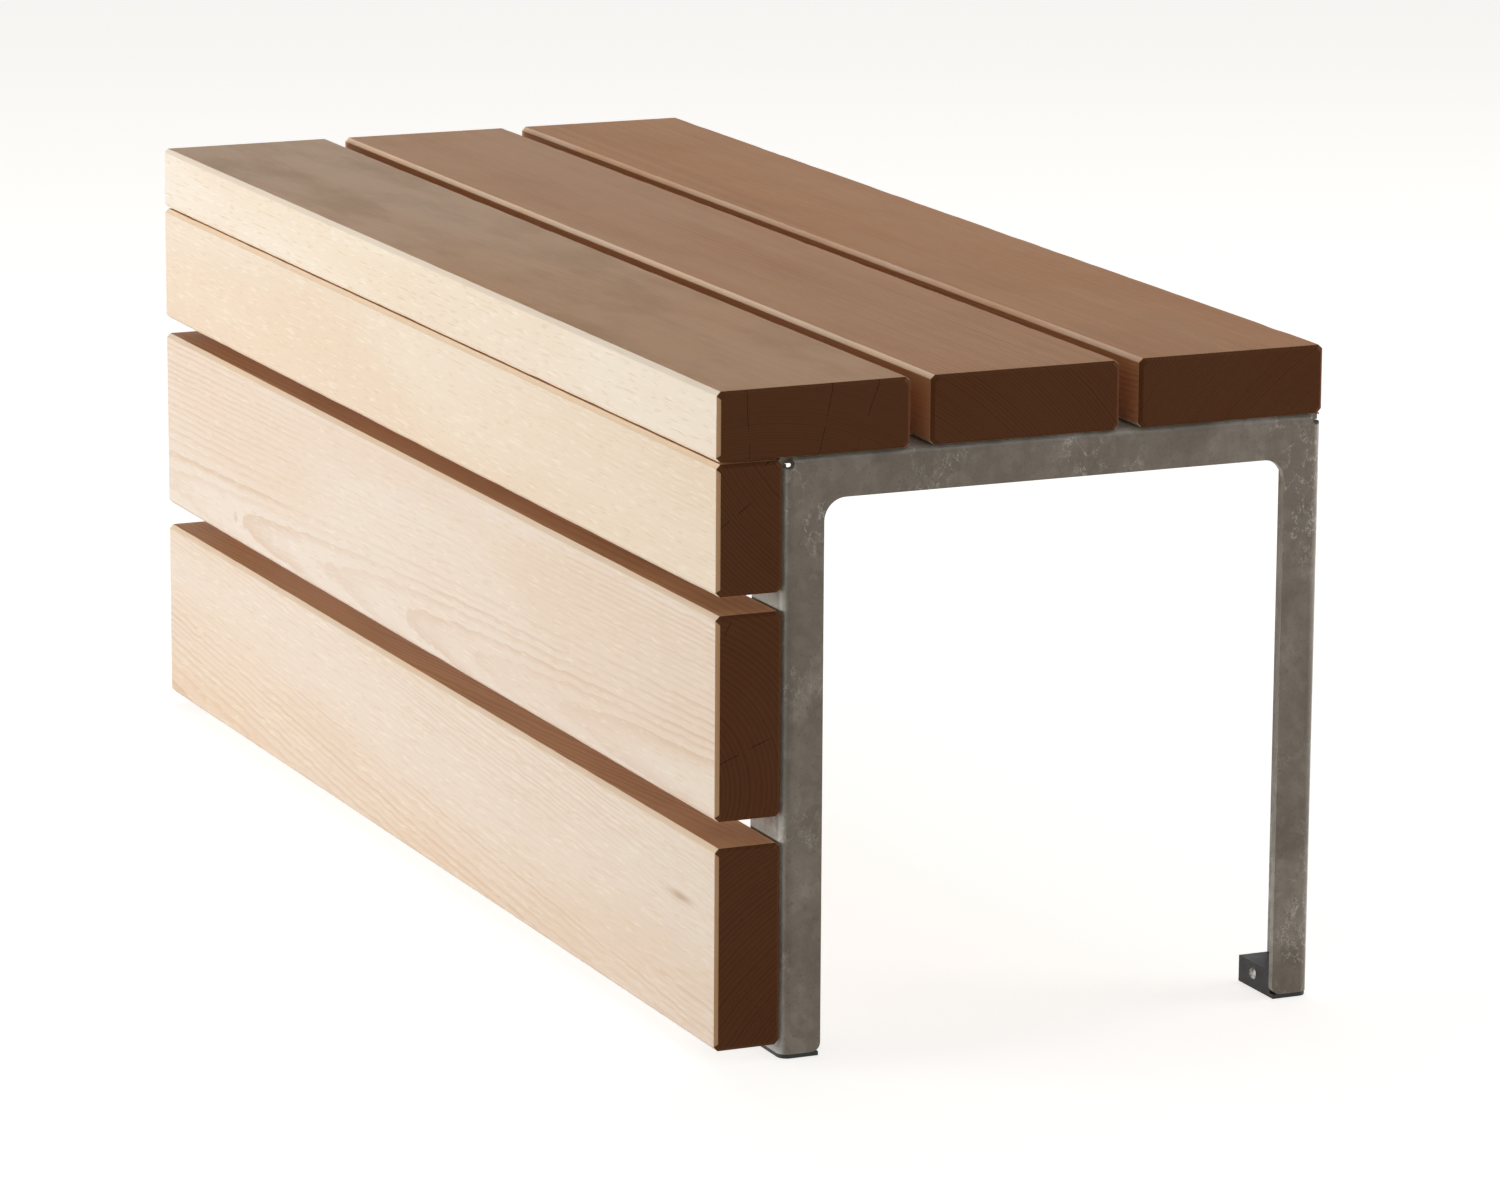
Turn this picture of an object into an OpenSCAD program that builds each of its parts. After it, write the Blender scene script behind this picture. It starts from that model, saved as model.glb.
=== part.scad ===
// Outdoor bench: three seat planks on two folded steel end frames, with three side boards
// along the front. The back and the ends stay open under the seat.
// Millimetres. X runs along the bench, the boarded side faces -Y, and the floor is Z = 0.
// The origin is the middle of the bench's outline, on the floor.

/* [Planks] */
// Length of every seat plank and side board
plank_len = 1070; // [700:10:1800]
// Width of the plank stock, flat in the seat and on edge in the side
plank_w = 135; // [110:1:160]
// Thickness of the plank stock
plank_t = 46; // [32:1:60]
// Chamfer along the planks' long edges
edge_cut = 3; // [0.5:0.5:5]
// Chamfer round the planks' sawn ends
end_cut = 2.5; // [0.5:0.5:4]

/* [Seat and side] */
// Gap between neighbouring seat planks
seat_gap = 14; // [6:1:30]
// Height of the top side board, which is ripped from the same stock
top_board_h = 86; // [70:1:130]
// Gap between the top and the middle side board
upper_gap = 12; // [6:1:30]
// Gap between the middle and the bottom side board
lower_gap = 17; // [6:1:30]
// Shadow line between the seat and the top side board
shadow_gap = 1; // [0.5:0.5:6]
// Clearance under the lowest side board
floor_gap = 10; // [6:1:30]

/* [End frames] */
// Thickness of the folded plate
plate_t = 5; // [3:0.5:8]
// Width of the web that shows at the bench's end
web_w = 28; // [22:1:50]
// Width of the flanges behind the boards and under the seat
flange_w = 50; // [40:1:80]
// Inside radius of the folds
fold_r = 2.5; // [1.5:0.5:5]
// Radius of the opening's two upper corners
opening_r = 15; // [5:1:30]
// Rounding of the legs' lower inside corners
leg_corner_r = 6; // [2:1:10]
// Radius of the relief cut where two folds meet
relief_r = 4; // [3:0.5:6]
// Distance of the relief cut's centre from both outer faces
relief_in = 3.5; // [2:0.5:5]
// Seam between the top flange and a leg's flange
seam = 0.6; // [0.3:0.1:1.5]
// How far the end frames stand proud of the plank ends
frame_proud = 1; // [0:0.5:4]

/* [Feet] */
// Height of the plastic foot blocks
foot_h = 18; // [12:1:28]
// Thickness of the foot's sole, which lies under the steel
foot_sole = 3; // [2:0.5:6]
// Play between a foot block and the steel round it
foot_play = 0.2; // [0.1:0.1:0.5]
// Setback of the foot from the steel's free edges
foot_setback = 1; // [0.5:0.5:4]
// Shank diameter of the screw that holds a foot
foot_screw_d = 4; // [3:0.5:5]
// Head diameter of the screw that holds a foot
foot_head_d = 8; // [7:0.5:10]
// Head height of the screw that holds a foot
foot_head_h = 2.2; // [1.5:0.1:3]
// Length of the taper at the end of a foot's screw
foot_point_len = 2.5; // [1:0.5:5]

/* [Wood screws] */
// Shank diameter of the wood screws
screw_d = 5; // [4:0.5:6]
// Head diameter of the wood screws
head_d = 11; // [9:0.5:14]
// Head height of the wood screws
head_h = 3.2; // [2:0.1:4.5]
// Distance of a screw from the edge of its plank or of the frame
screw_edge = 24; // [18:1:32]
// Wood left over a screw's tip
screw_cover = 10; // [6:1:16]
// Length of a wood screw's point
point_len = 6; // [3:1:10]
// Diameter at the very tip of a screw
tip_d = 1.2; // [0.6:0.2:2]
// Play of a screw in its pilot hole, at the side and past the tip
pilot_play = 0.1; // [0.05:0.05:0.3]
// Play of a screw in the frame's hole, at the side
frame_play = 0.5; // [0.3:0.1:1]
// Size of the hexagon socket across its corners
socket_d = 4.6; // [3:0.2:5]
// Depth of the hexagon socket
socket_depth = 2; // [1:0.1:2.5]

/* [Hidden] */

// Segments of rounded edges and of screws, and how far a cut runs past the face that it opens
round_fn = 64;
screw_fn = 32;
past = 1;

// A socket is never deeper than this share of its screw head
socket_share = 0.6;

// Seat and side, worked out from the stock
seat_count = 3;
depth = seat_count * plank_w + (seat_count - 1) * seat_gap;
front_y = -depth / 2;
board_h = [top_board_h, plank_w, plank_w];
board_gap = [upper_gap, lower_gap];
side_h = board_h[0] + board_h[1] + board_h[2] + board_gap[0] + board_gap[1];
seat_under = floor_gap + side_h + shadow_gap;

// Where the end frame stands: outer faces of the web, the two legs and the top flange
frame_x = plank_len / 2 + frame_proud;
frame_y0 = front_y + plank_t;
frame_y1 = depth / 2;
fold_out = fold_r + plate_t;
leg_bottom = foot_sole;

// Screws stand in the middle of the flanges' flat stretch, and a foot's in the middle of its face
screw_x = frame_x - (flange_w + fold_out) / 2;
screw_len = plate_t + plank_t - screw_cover;
foot_screw_z = (foot_sole + foot_h) / 2;

wood = [0.80, 0.66, 0.50];
steel = [0.55, 0.57, 0.57];
plastic = [0.08, 0.08, 0.08];

// Lowest and highest point of a side board, counted from the top one
function board_top(i) = i == 0 ? seat_under - shadow_gap : board_bottom(i - 1) - board_gap[i - 1];
function board_bottom(i) = board_top(i) - board_h[i];

// Front face of a seat plank, counted from the front one
function plank_y(i) = front_y + i * (plank_w + seat_gap);

// Each plank's two screws stand where the frame carries it
function seat_screw_ys(i) = [
    max(plank_y(i), frame_y0) + screw_edge,
    plank_y(i) + plank_w - screw_edge];
function side_screw_zs(i) = [board_bottom(i) + screw_edge, board_top(i) - screw_edge];

// A rectangle with its four corners cut off at 45 degrees
module cut_rect(w, h, cut) {
    polygon([[cut, 0], [w - cut, 0], [w, cut], [w, h - cut],
             [w - cut, h], [cut, h], [0, h - cut], [0, cut]]);
}

// A board from the origin along X, with its long edges and its sawn ends chamfered
module board(w, h) {
    translate([-plank_len / 2, 0, 0]) intersection() {
        rotate([90, 0, 90]) linear_extrude(plank_len) cut_rect(w, h, edge_cut);
        translate([0, 0, -past]) linear_extrude(h + 2 * past)
            cut_rect(plank_len, w, end_cut);
        translate([0, w + past, 0]) rotate([90, 0, 0]) linear_extrude(w + 2 * past)
            cut_rect(plank_len, h, end_cut);
    }
}

// A screw with its head's underside at the origin and its shank along +Z
module dome_screw(shank_d, cap_d, cap_h, length, point) {
    cap_r = (cap_d * cap_d / 4 + cap_h * cap_h) / (2 * cap_h);
    difference() {
        intersection() {
            translate([0, 0, cap_r - cap_h]) sphere(cap_r, $fn = round_fn);
            translate([0, 0, -cap_h]) cylinder(h = cap_h, d = cap_d, $fn = round_fn);
        }
        translate([0, 0, -cap_h - past])
            cylinder(h = past + min(socket_depth, cap_h * socket_share), d = socket_d, $fn = 6);
    }
    cylinder(h = length - point, d = shank_d, $fn = screw_fn);
    translate([0, 0, length - point])
        cylinder(h = point, d1 = shank_d, d2 = tip_d, $fn = screw_fn);
}

module pilot_hole() {
    translate([0, 0, plate_t - past])
        cylinder(h = screw_len - plate_t + pilot_play + past, d = screw_d + 2 * pilot_play,
                 $fn = screw_fn);
}

// Places of the screws at one end, each with +Z into the wood; side is -1 or 1
module at_seat_screws(i, side) {
    for (y = seat_screw_ys(i))
        translate([side * screw_x, y, seat_under - plate_t]) children();
}

module at_side_screws(i, side) {
    for (z = side_screw_zs(i))
        translate([side * screw_x, frame_y0 + plate_t, z]) rotate([90, 0, 0]) children();
}

// Seat planks
module seat_plank(i) {
    color(wood) difference() {
        translate([0, plank_y(i), seat_under]) board(plank_w, plank_t);
        for (side = [-1, 1]) at_seat_screws(i, side) pilot_hole();
    }
}

// Side boards
module side_board(i) {
    color(wood) difference() {
        translate([0, front_y, board_bottom(i)]) board(plank_t, board_h[i]);
        for (side = [-1, 1]) at_side_screws(i, side) pilot_hole();
    }
}

// The solid that a folded box would fill, drawn in by inset on the folded sides
module fold_envelope(inset) {
    r = fold_out - inset;
    open = inset > 0 ? past : 0;
    x0 = frame_x - flange_w - open;
    x1 = frame_x - inset;
    y0 = frame_y0 + inset;
    y1 = frame_y1 - inset;
    z0 = leg_bottom - open;
    z1 = seat_under - inset;
    intersection() {
        translate([0, 0, z0]) linear_extrude(z1 - z0) union() {
            translate([x0, y0]) square([x1 - r - x0, y1 - y0]);
            translate([x0, y0 + r]) square([x1 - x0, y1 - y0 - 2 * r]);
            for (y = [y0 + r, y1 - r]) translate([x1 - r, y]) circle(r, $fn = round_fn);
        }
        translate([0, y1 + past, 0]) rotate([90, 0, 0]) linear_extrude(y1 - y0 + 2 * past) union() {
            translate([x0, z0]) square([x1 - r - x0, z1 - z0]);
            translate([x0, z0]) square([x1 - x0, z1 - r - z0]);
            translate([x1 - r, z1 - r]) circle(r, $fn = round_fn);
        }
    }
}

// Outline of the opening between the legs, with round upper corners, in Y and Z
module opening_outline() {
    w = frame_y1 - frame_y0 - 2 * web_w;
    top = seat_under - web_w;
    translate([frame_y0 + web_w, leg_bottom - past]) {
        square([w, top - opening_r - leg_bottom + past]);
        translate([opening_r, 0]) square([w - 2 * opening_r, top - leg_bottom + past]);
        for (y = [opening_r, w - opening_r])
            translate([y, top - opening_r - leg_bottom + past]) circle(opening_r, $fn = round_fn);
    }
}

// The waste that rounds a lower corner: its corner at the origin, the plate towards +X and +Y
module corner_waste(r) {
    difference() {
        translate([-past, -past]) square(r + past);
        translate([r, r]) circle(r, $fn = round_fn);
    }
}

// Folded plate frame at the right end: web outside, flanges turned in along X
module end_frame() {
    color(steel) difference() {
        fold_envelope(0);
        fold_envelope(plate_t);
        translate([frame_x - flange_w - past, 0, 0]) rotate([90, 0, 90])
            linear_extrude(flange_w + 2 * past) opening_outline();
        frame_corner_cuts();
        for (i = [0:seat_count - 1]) {
            at_seat_screws(i, 1) frame_hole(screw_d + 2 * frame_play);
            at_side_screws(i, 1) frame_hole(screw_d + 2 * frame_play);
        }
        for (back = [false, true]) at_foot_screw(back) translate([0, 0, foot_block_w() + foot_play])
            frame_hole(foot_screw_d + 2 * pilot_play);
    }
}

module frame_hole(d) {
    translate([0, 0, -past]) cylinder(h = plate_t + 2 * past, d = d, $fn = screw_fn);
}

// Relief cuts and seams where the folds meet, and rounded lower corners
module frame_corner_cuts() {
    for (back = [false, true]) {
        y = back ? frame_y1 : frame_y0;
        inward = back ? -1 : 1;
        translate([frame_x - fold_out - past, y + inward * relief_in, seat_under - relief_in])
            rotate([0, 90, 0]) cylinder(h = fold_out + 2 * past, r = relief_r, $fn = round_fn);
        translate([frame_x - flange_w - past, back ? y - plate_t : y - past, seat_under - plate_t - seam])
            cube([flange_w - fold_out + 2 * past, plate_t + past, seam]);
        translate([frame_x - fold_out - past, y + inward * web_w, leg_bottom])
            mirror([0, back ? 0 : 1, 0]) rotate([90, 0, 90])
                linear_extrude(fold_out + 2 * past) corner_waste(leg_corner_r);
        translate([frame_x - flange_w, y + (back ? past : plate_t + past), leg_bottom])
            rotate([90, 0, 0]) linear_extrude(plate_t + 2 * past) corner_waste(leg_corner_r);
    }
}

// Width of a foot block across the leg, between the flange and the web's free edge
function foot_block_w() = web_w - foot_setback - plate_t - foot_play;

// Place of a foot's screw, its head on the block's free face and +Z through the block to the flange
module at_foot_screw(back) {
    y = back ? frame_y1 - web_w + foot_setback : frame_y0 + web_w - foot_setback;
    translate([screw_x, y, foot_screw_z]) rotate([back ? -90 : 90, 0, 0]) children();
}

// Plan of a front foot, set in from the steel's outer faces, with a round outer corner
module foot_plan(inset, r) {
    x0 = frame_x - flange_w + foot_setback;
    x1 = frame_x - inset;
    y0 = frame_y0 + inset;
    y1 = frame_y0 + web_w - foot_setback;
    translate([x0, y0]) square([x1 - r - x0, y1 - y0]);
    translate([x0, y0 + r]) square([x1 - x0, y1 - y0 - r]);
    translate([x1 - r, y0 + r]) circle(r, $fn = round_fn);
}

// Foot at the right end: a block inside the angle of the leg, on a sole that the steel stands on
module foot(back) {
    color(plastic) difference() {
        translate([0, back ? frame_y0 + frame_y1 : 0, 0]) mirror([0, back ? 1 : 0, 0]) {
            linear_extrude(foot_sole) foot_plan(foot_setback / 2, fold_out - foot_setback / 2);
            linear_extrude(foot_h) foot_plan(plate_t + foot_play, fold_r + foot_play);
        }
        at_foot_screw(back) translate([0, 0, -past])
            cylinder(h = foot_block_w() + foot_play + 2 * past, d = foot_screw_d + 2 * pilot_play,
                     $fn = screw_fn);
    }
}

// Screws, grouped by what they hold and by end
module seat_screws(side) {
    color(steel) for (i = [0:seat_count - 1])
        at_seat_screws(i, side) dome_screw(screw_d, head_d, head_h, screw_len, point_len);
}

module side_screws(side) {
    color(steel) for (i = [0:len(board_h) - 1])
        at_side_screws(i, side) dome_screw(screw_d, head_d, head_h, screw_len, point_len);
}

module foot_screws() {
    color(steel) for (side = [0, 1], back = [false, true]) mirror([side, 0, 0])
        at_foot_screw(back) dome_screw(foot_screw_d, foot_head_d, foot_head_h,
                                       foot_block_w() + foot_play + plate_t, foot_point_len);
}

module left() mirror([1, 0, 0]) children();

seat_plank(0);  // seat_plank_front
seat_plank(1);  // seat_plank_middle
seat_plank(2);  // seat_plank_back
side_board(0);  // side_board_top
side_board(1);  // side_board_middle
side_board(2);  // side_board_bottom
left() end_frame();  // end_frame_left
end_frame();  // end_frame_right
left() foot(false);  // foot_front_left
foot(false);  // foot_front_right
left() foot(true);  // foot_back_left
foot(true);  // foot_back_right
seat_screws(-1);  // seat_screws_left
seat_screws(1);  // seat_screws_right
side_screws(-1);  // side_screws_left
side_screws(1);  // side_screws_right
foot_screws();
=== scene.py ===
"""Dresses the outdoor bench: planed softwood planks, galvanised end frames, plastic feet and screws."""

import math

import bmesh
import bpy
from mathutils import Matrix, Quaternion, Vector


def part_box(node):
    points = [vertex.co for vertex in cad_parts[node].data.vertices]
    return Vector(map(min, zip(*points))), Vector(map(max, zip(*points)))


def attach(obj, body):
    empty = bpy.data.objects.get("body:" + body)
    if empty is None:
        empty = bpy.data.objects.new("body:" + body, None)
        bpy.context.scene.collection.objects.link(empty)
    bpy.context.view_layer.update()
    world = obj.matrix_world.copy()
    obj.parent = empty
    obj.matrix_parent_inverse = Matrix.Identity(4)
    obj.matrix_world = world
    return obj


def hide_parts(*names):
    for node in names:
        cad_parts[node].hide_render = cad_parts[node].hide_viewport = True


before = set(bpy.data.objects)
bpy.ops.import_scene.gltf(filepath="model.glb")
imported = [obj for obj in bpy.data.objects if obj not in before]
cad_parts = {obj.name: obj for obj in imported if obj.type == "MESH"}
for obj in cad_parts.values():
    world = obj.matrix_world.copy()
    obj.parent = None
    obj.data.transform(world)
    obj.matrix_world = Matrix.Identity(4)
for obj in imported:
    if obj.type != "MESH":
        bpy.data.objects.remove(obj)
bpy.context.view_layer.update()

MM = 0.001

# Sizes that the CAD source holds and the frame's boxes don't show
LONG_EDGE_CUT = 3 * MM
SAWN_END_CUT = 2.5 * MM
SCREW_EDGE = 24 * MM
WOOD_SCREW = {
    "Length": 41 * MM, "Shank": 5 * MM, "Point": 6 * MM, "Tip": 1.2 * MM,
    "Head Width": 11 * MM, "Head Height": 3.2 * MM, "Socket": 4.6 * MM, "Socket Depth": 1.92 * MM}
FOOT_SCREW = {
    "Length": 27 * MM, "Shank": 4 * MM, "Point": 2.5 * MM, "Tip": 1.2 * MM,
    "Head Width": 8 * MM, "Head Height": 2.2 * MM, "Socket": 4.6 * MM, "Socket Depth": 1.32 * MM}

# Cut edges of the plate and the feet are softened by this much, where they fold more sharply than this
SOFT_EDGE = 0.5 * MM
SOFT_EDGE_STEPS = 2
SHARP_FOLD = math.radians(35)
# Points nearer than this are one, and folds flatter than this are none
MERGE_GAP = 0.002 * MM
FLAT_FOLD = math.radians(0.5)

# Types of a node group's sockets
FLOAT = "NodeSocketFloat"
INTEGER = "NodeSocketInt"
VECTOR = "NodeSocketVector"
COLOUR = "NodeSocketColor"
GEOMETRY = "NodeSocketGeometry"
MATERIAL = "NodeSocketMaterial"


class Wire:
    """A number that flows through a node tree. Arithmetic on it adds Math nodes."""

    def __init__(self, tree, socket):
        self.tree = tree
        self.socket = socket

    def maths(self, operation, *others):
        made = self.tree.nodes.new("ShaderNodeMath")
        made.operation = operation
        for socket, value in zip(made.inputs, (self, *others)):
            feed(self.tree, socket, value)
        return Wire(self.tree, made.outputs[0])

    def __add__(self, other):
        return self.maths("ADD", other)

    def __sub__(self, other):
        return self.maths("SUBTRACT", other)

    def __rsub__(self, other):
        return -self + other

    def __mul__(self, other):
        return self.maths("MULTIPLY", other)

    def __truediv__(self, other):
        return self.maths("DIVIDE", other)

    def __neg__(self):
        return self.maths("MULTIPLY", -1.0)

    def __abs__(self):
        return self.maths("ABSOLUTE")

    def ramp(self, start, end, low=0.0, high=1.0):
        """Goes smoothly from low at start to high at end."""
        made = self.tree.nodes.new("ShaderNodeMapRange")
        made.interpolation_type = "SMOOTHSTEP"
        for name, value in (("Value", self), ("From Min", start), ("From Max", end),
                            ("To Min", low), ("To Max", high)):
            feed(self.tree, made.inputs[name], value)
        return Wire(self.tree, made.outputs["Result"])

    def random(self):
        """A random number from 0 to 1 for each whole number."""
        made = self.tree.nodes.new("ShaderNodeTexWhiteNoise")
        made.noise_dimensions = "1D"
        feed(self.tree, made.inputs["W"], self)
        return Wire(self.tree, made.outputs["Value"])


def feed(tree, socket, value):
    """Gives a socket a plain value, or links a wire or another socket to it."""
    if isinstance(value, Wire):
        value = value.socket
    if isinstance(value, bpy.types.NodeSocket):
        tree.links.new(value, socket)
    else:
        socket.default_value = value


def add_node(tree, kind, inputs=None, **settings):
    made = tree.nodes.new(kind)
    for name, value in settings.items():
        setattr(made, name, value)
    for name, value in (inputs or {}).items():
        feed(tree, made.inputs[name], value)
    return made


def new_group(name, kind, inputs, outputs):
    """A node group from (name, socket type, default) rows. Returns it, what it is given and what it gives."""
    tree = bpy.data.node_groups.new(name, kind)
    for direction, rows in (("INPUT", inputs), ("OUTPUT", outputs)):
        for socket_name, socket_type, default in rows:
            socket = tree.interface.new_socket(socket_name, in_out=direction, socket_type=socket_type)
            if default is not None:
                socket.default_value = default
    given = tree.nodes.new("NodeGroupInput").outputs
    gives = tree.nodes.new("NodeGroupOutput").inputs
    return tree, given, gives


def split(tree, vector):
    """The X, Y and Z of a vector as wires."""
    parts = add_node(tree, "ShaderNodeSeparateXYZ", {0: vector})
    return [Wire(tree, socket) for socket in parts.outputs]


def join(tree, x, y, z):
    return add_node(tree, "ShaderNodeCombineXYZ", {0: x, 1: y, 2: z}).outputs[0]


def vector_maths(tree, operation, first, second):
    return add_node(tree, "ShaderNodeVectorMath", {0: first, 1: second}, operation=operation).outputs[0]


def noise(tree, position, waves, shift, detail=2.0, roughness=0.5):
    """Noise from about 0.2 to 0.8 as a wire, with so many waves a metre along each axis."""
    return Wire(tree, noise_node(tree, position, waves, shift, detail, roughness).outputs[0])


def noises(tree, position, waves, shift, detail=2.0, roughness=0.5):
    """Three separate noises in one node, as wires."""
    return split(tree, noise_node(tree, position, waves, shift, detail, roughness).outputs[1])


def noise_node(tree, position, waves, shift, detail, roughness):
    placed = add_node(tree, "ShaderNodeVectorMath", {
        0: position, 1: waves, 2: shift}, operation="MULTIPLY_ADD")
    return add_node(tree, "ShaderNodeTexNoise", {
        "Vector": placed.outputs[0], "Scale": 1.0, "Detail": detail, "Roughness": roughness})


def seed_shift(tree, seed):
    """Moves a noise to another place for each seed."""
    return join(tree, seed * 3.1, seed * 7.7, seed * 5.3)


def mix_colours(tree, share, first, second, blend="MIX"):
    made = tree.nodes.new("ShaderNodeMix")
    made.data_type = "RGBA"
    made.blend_type = blend
    feed(tree, made.inputs[0], share)
    feed(tree, made.inputs[6], first)
    feed(tree, made.inputs[7], second)
    return made.outputs[2]


def colour(red, green, blue):
    """A node colour from the 0 to 255 values that a screen shows."""
    linear = [v / 12.92 if v <= 0.04045 else ((v + 0.055) / 1.055) ** 2.4
              for v in (red / 255, green / 255, blue / 255)]
    return (*linear, 1.0)


# Waves a metre of each wood noise, along, across and up the plank
PITH_WANDER_WAVES = (1.6, 6, 6)
PITH_WOBBLE_WAVES = (9, 30, 30)
RING_RIPPLE_WAVES = (38, 12, 12)
FIGURE_WAVES = (2.2, 13, 13)
STREAK_WAVES = (3.5, 260, 260)
FIBRE_WAVES = (22, 1300, 1300)
FLECK_WAVES = (48, 520, 520)
SMUDGE_WAVES = (7, 20, 20)
# Waves a metre of a noise along the radius, and how many rings it moves them, so that their widths differ
RING_WIDTH_WAVES = (70, 1, 1)
UNEVEN_RINGS = 2.5
# Waves of a noise that breaks the drying checks up: a metre of the radius, a sector and a seed
CHECK_WAVES = (45, 3.7, 1.0)

# The pith's quick wobble, as a share of its slow wander
PITH_WOBBLE = 0.14
# Latewood darkens slowly through a ring from its start to its peak, and fades from there to the ring's rim
LATEWOOD_START = 0.30
LATEWOOD_PEAK = 0.93
# A knot is drawn out along the plank. The rings bulge round it by more than its size, and fall back slowly.
KNOT_ALONG = 0.15
BULGE_FALL = 0.12
BULGE_HEIGHT = 1.2


def growth_rings_group():
    """Annual rings round a pith line that leans and wanders through the plank, with one pin knot."""
    tree, given, gives = new_group("Growth rings", "ShaderNodeTree", [
        ("Position", VECTOR, None), ("Pith", VECTOR, (0, 0, 0)), ("Lean", VECTOR, (0, 0, 0)),
        ("Ring Width", FLOAT, 3 * MM), ("Wander", FLOAT, 10 * MM), ("Ripple", FLOAT, 2 * MM),
        ("Knot", VECTOR, (0, 0, 0)), ("Knot Size", FLOAT, 4 * MM), ("Seed", FLOAT, 0.0),
    ], [("Latewood", FLOAT, None), ("Radius", FLOAT, None), ("Turn", FLOAT, None), ("Knot", FLOAT, None)])
    position = given["Position"]
    wander = Wire(tree, given["Wander"])
    shift = seed_shift(tree, Wire(tree, given["Seed"]))
    x, y, z = split(tree, position)
    _, pith_y, pith_z = split(tree, given["Pith"])
    _, lean_y, lean_z = split(tree, given["Lean"])
    slow = noises(tree, position, PITH_WANDER_WAVES, shift, detail=1)
    quick = noises(tree, position, PITH_WOBBLE_WAVES, shift, detail=2)
    from_pith_y = y - pith_y - lean_y * x + (slow[0] - 0.5) * wander + (quick[0] - 0.5) * wander * PITH_WOBBLE
    from_pith_z = z - pith_z - lean_z * x + (slow[1] - 0.5) * wander + (quick[1] - 0.5) * wander * PITH_WOBBLE

    knot_x, knot_y, knot_z = split(tree, given["Knot"])
    size = Wire(tree, given["Knot Size"])
    away = ((x - knot_x) * KNOT_ALONG).maths("POWER", 2.0) + (y - knot_y).maths("POWER", 2.0) \
        + (z - knot_z).maths("POWER", 2.0)
    knot = (-(away / (size * size))).maths("EXPONENT")
    bulge = (-(away / (size * size) * BULGE_FALL)).maths("EXPONENT") * size * BULGE_HEIGHT

    ripple = (noise(tree, position, RING_RIPPLE_WAVES, shift, detail=2) - 0.5) * Wire(tree, given["Ripple"])
    radius = (from_pith_y * from_pith_y + from_pith_z * from_pith_z).maths("SQRT") + bulge + ripple
    uneven = noise(tree, join(tree, radius, 0.0, 0.0), RING_WIDTH_WAVES, shift, detail=1)
    rings = radius / Wire(tree, given["Ring Width"]) + uneven * UNEVEN_RINGS
    through = rings.maths("FRACT")
    late = through.ramp(LATEWOOD_START, LATEWOOD_PEAK) - through.ramp(LATEWOOD_PEAK, 1.0)
    strength = rings.maths("FLOOR").random() * 0.6 + 0.4
    feed(tree, gives["Latewood"], late * strength)
    feed(tree, gives["Radius"], radius)
    feed(tree, gives["Turn"], from_pith_z.maths("ARCTAN2", from_pith_y))
    feed(tree, gives["Knot"], knot)
    return tree


def drying_checks_group():
    """Fine cracks that run out from the pith on a sawn end."""
    tree, given, gives = new_group("Drying checks", "ShaderNodeTree", [
        ("Radius", FLOAT, 0.0), ("Turn", FLOAT, 0.0), ("Checks A Turn", FLOAT, 60.0), ("Seed", FLOAT, 0.0),
    ], [("Check", FLOAT, None)])
    radius = Wire(tree, given["Radius"])
    turn = Wire(tree, given["Turn"])
    seed = Wire(tree, given["Seed"])
    count = Wire(tree, given["Checks A Turn"])
    sector = (turn * count / math.tau).maths("FLOOR")
    centre = (sector + (sector + seed).random() * 0.6 + 0.2) * math.tau / count
    across = abs(turn - centre) * radius
    opened = (sector * 3.0 + seed + 40.0).random().ramp(0.70, 0.74)
    along = noise(tree, join(tree, radius, sector, seed), CHECK_WAVES, (0, 0, 0), detail=1)
    line = across.ramp(0.15 * MM, 0.5 * MM, 1.0, 0.0)
    feed(tree, gives["Check"], line * opened * along.ramp(0.46, 0.54))
    return tree


def from_arris(tree, position, centre, half_size):
    """How far a surface point lies from the plank's nearest arris: the middle one of its three margins."""
    offset = vector_maths(tree, "SUBTRACT", position, centre)
    inside = add_node(tree, "ShaderNodeVectorMath", {0: offset}, operation="ABSOLUTE").outputs[0]
    in_x, in_y, in_z = split(tree, vector_maths(tree, "SUBTRACT", half_size, inside))
    near = in_x.maths("MINIMUM", in_y).maths("MINIMUM", in_z)
    far = in_x.maths("MAXIMUM", in_y).maths("MAXIMUM", in_z)
    return in_x + in_y + in_z - near - far


# Where a surface starts to count as each part of a plank, and where it fully does. It goes by how far the
# surface faces one way: 0 is square to that way, 0.7 is a chamfer of 45 degrees and 1 is straight at it.
END_EDGE_FROM = (0.50, 0.65)
END_FROM = (0.74, 0.95)
TOP_EDGE_FROM = (0.45, 0.65)
TOP_EDGE_UNTIL = (0.76, 0.92)
TOP_FROM = (0.76, 0.96)
GAP_FACE_FROM = (0.75, 0.95)
# The same for two ways at once, as a product
SHADED_CORNER_FROM = (0.30, 0.45)


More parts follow.
